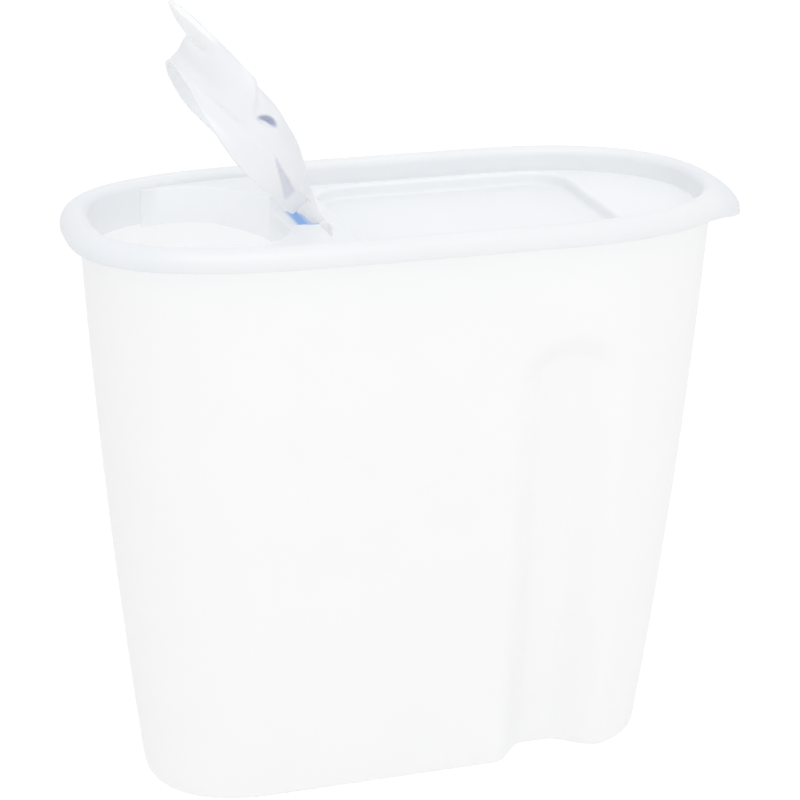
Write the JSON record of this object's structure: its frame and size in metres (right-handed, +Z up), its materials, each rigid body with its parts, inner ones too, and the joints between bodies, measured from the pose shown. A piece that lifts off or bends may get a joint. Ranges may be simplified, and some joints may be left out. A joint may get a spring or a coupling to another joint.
{
  "type": "cereal container",
  "caption": "Tapered oval dry-food container with side finger grips, a push-on lid with a rolled rim, and a hinged flip cover over its pouring mouth.",
  "frame": {"origin": "middle of the bounding box at floor level", "axes": "+Z up, +X toward the back of the lid, -X toward the spout, +Y across the width"},
  "size_m": [0.2834, 0.136, 0.3332],
  "materials": {
    "container_plastic": "translucent milky polypropylene, satin",
    "lid_plastic": "translucent pale blue polypropylene, smooth",
    "cover_plastic": "translucent pale blue polypropylene, smooth"
  },
  "bodies": {
    "container": {"container_shell": "container_plastic"},
    "lid": {"lid_rim": "lid_plastic", "lid_deck": "lid_plastic", "sunken_panel": "lid_plastic", "pouring_well": "lid_plastic", "seat_ledge": "lid_plastic", "hinge_ears": "lid_plastic"},
    "flip_cover": {"flip_cover": "cover_plastic", "hinge_barrel": "cover_plastic"}
  },
  "joints": [
    {"name": "lid_lift", "type": "slide", "parent": "container", "child": "lid", "axis": [0, 0, 1], "range_m": [0, 0.06]},
    {"name": "cover_hinge", "type": "hinge", "parent": "lid", "child": "flip_cover", "pos_m": [-0.03975, 0, 0.2431], "axis": [0, 1, 0], "range_deg": [-48, 57]}
  ]
}
